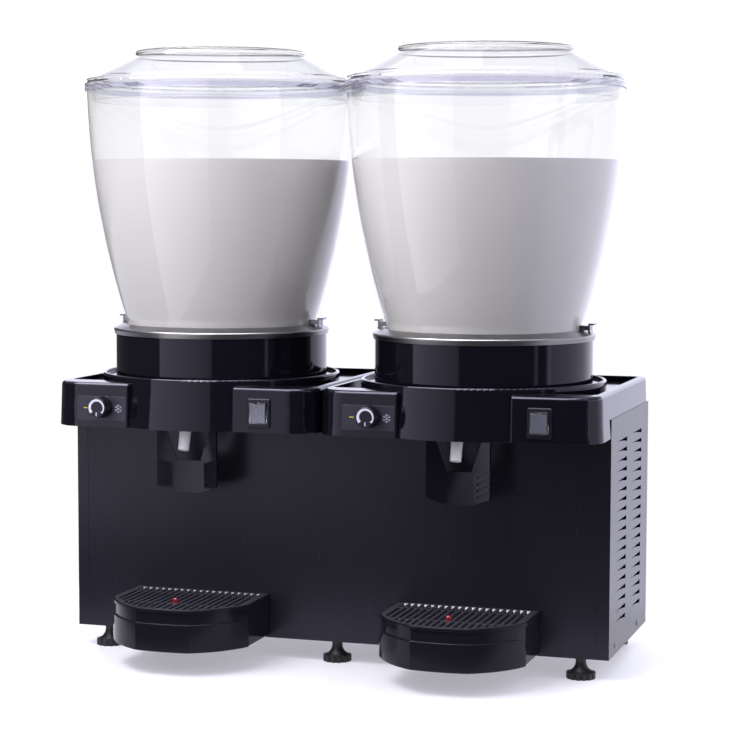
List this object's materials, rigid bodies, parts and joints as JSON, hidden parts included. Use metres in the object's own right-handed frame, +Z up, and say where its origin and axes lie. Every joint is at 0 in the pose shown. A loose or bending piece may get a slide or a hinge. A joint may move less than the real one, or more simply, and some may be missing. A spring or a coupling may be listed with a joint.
{
  "type": "cold drink dispenser",
  "caption": "Counter-top cold drink dispenser with clear lidded bowls over a louvred refrigerated cabinet, push-lever taps, rotary thermostats, rocker switches and drip trays.",
  "frame": {"origin": "on the bench, under the middle of the whole dispenser", "axes": "+Z up, the taps face -Y, X to the right seen from the front"},
  "size_m": [0.6028, 0.3334, 0.6579],
  "materials": {
    "clear_plastic": "clear moulded plastic, polished",
    "brushed_steel": "brushed",
    "gloss_black": "high gloss",
    "white_plastic": "semi-gloss",
    "polished_clip": "polished",
    "knob_black": "satin",
    "switch_black": "satin",
    "rocker_grey": "semi-gloss",
    "clear_boot": "translucent soft plastic",
    "tap_black": "satin",
    "float_red": "semi-gloss",
    "cabinet_sheet": "satin powder coat",
    "seal_rubber": "matt",
    "foam": "foam",
    "motor_grey": "satin",
    "screw_steel": "satin",
    "compressor_black": "satin",
    "condenser_metal": "bare",
    "fan_plastic": "matt",
    "pipe_copper": "bare copper",
    "foot_black": "matt"
  },
  "bodies": {
    "cabinet": {"cooling_tub_left": "brushed_steel", "drum_cover_left": "gloss_black", "deck_left": "gloss_black", "switch_body_left": "switch_black", "switch_boot_left": "clear_boot", "tap_body_left": "tap_black", "spout_left": "white_plastic", "side_panel_left": "cabinet_sheet", "cooling_tub_right": "brushed_steel", "drum_cover_right": "gloss_black", "deck_right": "gloss_black", "switch_body_right": "switch_black", "switch_boot_right": "clear_boot", "tap_body_right": "tap_black", "spout_right": "white_plastic", "side_panel_right": "cabinet_sheet", "bowl_seals": "seal_rubber", "tub_insulation": "foam", "agitator_motors": "motor_grey", "thermostats": "switch_black", "lever_pins": "brushed_steel", "front_panel": "cabinet_sheet", "rear_panel": "cabinet_sheet", "base_pan": "cabinet_sheet", "panel_screws": "screw_steel", "compressor": "compressor_black", "condenser": "condenser_metal", "fan_motor": "motor_grey", "pipework": "pipe_copper"},
    "lid_left": {"lid_left": "clear_plastic"},
    "bowl_left": {"bowl_left": "clear_plastic"},
    "agitator_left": {"agitator_left": "white_plastic"},
    "clip_outer_left": {"clip_outer_left": "polished_clip"},
    "clip_inner_left": {"clip_inner_left": "polished_clip"},
    "knob_left": {"knob_left": "knob_black"},
    "rocker_a_left": {"rocker_a_left": "rocker_grey"},
    "rocker_b_left": {"rocker_b_left": "rocker_grey"},
    "tap_lever_left": {"tap_lever_left": "gloss_black"},
    "drip_tray_left": {"drip_tray_left": "gloss_black"},
    "drip_grille_left": {"drip_grille_left": "gloss_black"},
    "float_left": {"float_left": "float_red"},
    "lid_right": {"lid_right": "clear_plastic"},
    "bowl_right": {"bowl_right": "clear_plastic"},
    "agitator_right": {"agitator_right": "white_plastic"},
    "clip_outer_right": {"clip_outer_right": "polished_clip"},
    "clip_inner_right": {"clip_inner_right": "polished_clip"},
    "knob_right": {"knob_right": "knob_black"},
    "rocker_a_right": {"rocker_a_right": "rocker_grey"},
    "rocker_b_right": {"rocker_b_right": "rocker_grey"},
    "tap_lever_right": {"tap_lever_right": "gloss_black"},
    "drip_tray_right": {"drip_tray_right": "gloss_black"},
    "drip_grille_right": {"drip_grille_right": "gloss_black"},
    "float_right": {"float_right": "float_red"},
    "foot_1": {"foot_1": "foot_black"},
    "foot_2": {"foot_2": "foot_black"},
    "foot_3": {"foot_3": "foot_black"},
    "foot_4": {"foot_4": "foot_black"},
    "foot_5": {"foot_5": "foot_black"},
    "foot_6": {"foot_6": "foot_black"},
    "fan": {"fan": "fan_plastic"}
  },
  "joints": [
    {"name": "bowl_lift_left", "type": "slide", "parent": "cabinet", "child": "bowl_left", "axis": [0, 0, 1], "range_m": [0, 0.12]},
    {"name": "lid_lift_left", "type": "slide", "parent": "bowl_left", "child": "lid_left", "axis": [0, 0, 1], "range_m": [0, 0.15]},
    {"name": "agitator_spin_left", "type": "hinge", "parent": "cabinet", "child": "agitator_left", "pos_m": [-0.15, 0.00905, 0.3317], "axis": [0, 0, 1], "continuous": true},
    {"name": "clip_outer_swing_left", "type": "hinge", "parent": "cabinet", "child": "clip_outer_left", "pos_m": [-0.2654, 0.00905, 0.35902], "axis": [0, -1, 0], "range_deg": [0, 15], "stiffness_Nm_per_rad": 0.2, "springref_deg": -2.86},
    {"name": "clip_inner_swing_left", "type": "hinge", "parent": "cabinet", "child": "clip_inner_left", "pos_m": [-0.0346, 0.00905, 0.35902], "axis": [0, 1, 0], "range_deg": [0, 15], "stiffness_Nm_per_rad": 0.2, "springref_deg": -2.86},
    {"name": "knob_turn_left", "type": "hinge", "parent": "cabinet", "child": "knob_left", "pos_m": [-0.2386, -0.1138, 0.27501], "axis": [0, 0.9994, -0.0349], "range_deg": [0, 300]},
    {"name": "rocker_a_tip_left", "type": "hinge", "parent": "cabinet", "child": "rocker_a_left", "pos_m": [-0.0645, -0.11433, 0.27403], "axis": [-1, 0, 0], "range_deg": [0, 18]},
    {"name": "rocker_b_tip_left", "type": "hinge", "parent": "cabinet", "child": "rocker_b_left", "pos_m": [-0.0559, -0.11433, 0.27403], "axis": [-1, 0, 0], "range_deg": [0, 18]},
    {"name": "lever_push_left", "type": "hinge", "parent": "cabinet", "child": "tap_lever_left", "pos_m": [-0.15, -0.09345, 0.262], "axis": [1, 0, 0], "range_deg": [0, 10], "stiffness_Nm_per_rad": 1.2, "springref_deg": -5.73},
    {"name": "tray_pull_left", "type": "slide", "parent": "cabinet", "child": "drip_tray_left", "axis": [0, -1, 0], "range_m": [0, 0.14]},
    {"name": "grille_lift_left", "type": "slide", "parent": "drip_tray_left", "child": "drip_grille_left", "axis": [0, 0, 1], "range_m": [0, 0.06]},
    {"name": "float_rise_left", "type": "slide", "parent": "drip_tray_left", "child": "float_left", "axis": [0, 0, 1], "range_m": [0, 0.01]},
    {"name": "bowl_lift_right", "type": "slide", "parent": "cabinet", "child": "bowl_right", "axis": [0, 0, 1], "range_m": [0, 0.12]},
    {"name": "lid_lift_right", "type": "slide", "parent": "bowl_right", "child": "lid_right", "axis": [0, 0, 1], "range_m": [0, 0.15]},
    {"name": "agitator_spin_right", "type": "hinge", "parent": "cabinet", "child": "agitator_right", "pos_m": [0.15, 0.00905, 0.3317], "axis": [0, 0, 1], "continuous": true},
    {"name": "clip_outer_swing_right", "type": "hinge", "parent": "cabinet", "child": "clip_outer_right", "pos_m": [0.2654, 0.00905, 0.35902], "axis": [0, 1, 0], "range_deg": [0, 15], "stiffness_Nm_per_rad": 0.2, "springref_deg": -2.86},
    {"name": "clip_inner_swing_right", "type": "hinge", "parent": "cabinet", "child": "clip_inner_right", "pos_m": [0.0346, 0.00905, 0.35902], "axis": [0, -1, 0], "range_deg": [0, 15], "stiffness_Nm_per_rad": 0.2, "springref_deg": -2.86},
    {"name": "knob_turn_right", "type": "hinge", "parent": "cabinet", "child": "knob_right", "pos_m": [0.0614, -0.1138, 0.27501], "axis": [0, 0.9994, -0.0349], "range_deg": [0, 300]},
    {"name": "rocker_a_tip_right", "type": "hinge", "parent": "cabinet", "child": "rocker_a_right", "pos_m": [0.2355, -0.11433, 0.27403], "axis": [-1, 0, 0], "range_deg": [0, 18]},
    {"name": "rocker_b_tip_right", "type": "hinge", "parent": "cabinet", "child": "rocker_b_right", "pos_m": [0.2441, -0.11433, 0.27403], "axis": [-1, 0, 0], "range_deg": [0, 18]},
    {"name": "lever_push_right", "type": "hinge", "parent": "cabinet", "child": "tap_lever_right", "pos_m": [0.15, -0.09345, 0.262], "axis": [1, 0, 0], "range_deg": [0, 10], "stiffness_Nm_per_rad": 1.2, "springref_deg": -5.73},
    {"name": "tray_pull_right", "type": "slide", "parent": "cabinet", "child": "drip_tray_right", "axis": [0, -1, 0], "range_m": [0, 0.14]},
    {"name": "grille_lift_right", "type": "slide", "parent": "drip_tray_right", "child": "drip_grille_right", "axis": [0, 0, 1], "range_m": [0, 0.06]},
    {"name": "float_rise_right", "type": "slide", "parent": "drip_tray_right", "child": "float_right", "axis": [0, 0, 1], "range_m": [0, 0.01]},
    {"name": "foot_1_level", "type": "slide", "parent": "cabinet", "child": "foot_1", "axis": [0, 0, 1], "range_m": [-0.012, 0]},
    {"name": "foot_2_level", "type": "slide", "parent": "cabinet", "child": "foot_2", "axis": [0, 0, 1], "range_m": [-0.012, 0]},
    {"name": "foot_3_level", "type": "slide", "parent": "cabinet", "child": "foot_3", "axis": [0, 0, 1], "range_m": [-0.012, 0]},
    {"name": "foot_4_level", "type": "slide", "parent": "cabinet", "child": "foot_4", "axis": [0, 0, 1], "range_m": [-0.012, 0]},
    {"name": "foot_5_level", "type": "slide", "parent": "cabinet", "child": "foot_5", "axis": [0, 0, 1], "range_m": [-0.012, 0]},
    {"name": "foot_6_level", "type": "slide", "parent": "cabinet", "child": "foot_6", "axis": [0, 0, 1], "range_m": [-0.012, 0]},
    {"name": "fan_spin", "type": "hinge", "parent": "cabinet", "child": "fan", "pos_m": [0.221, 0.05975, 0.0998], "axis": [1, 0, 0], "continuous": true}
  ]
}
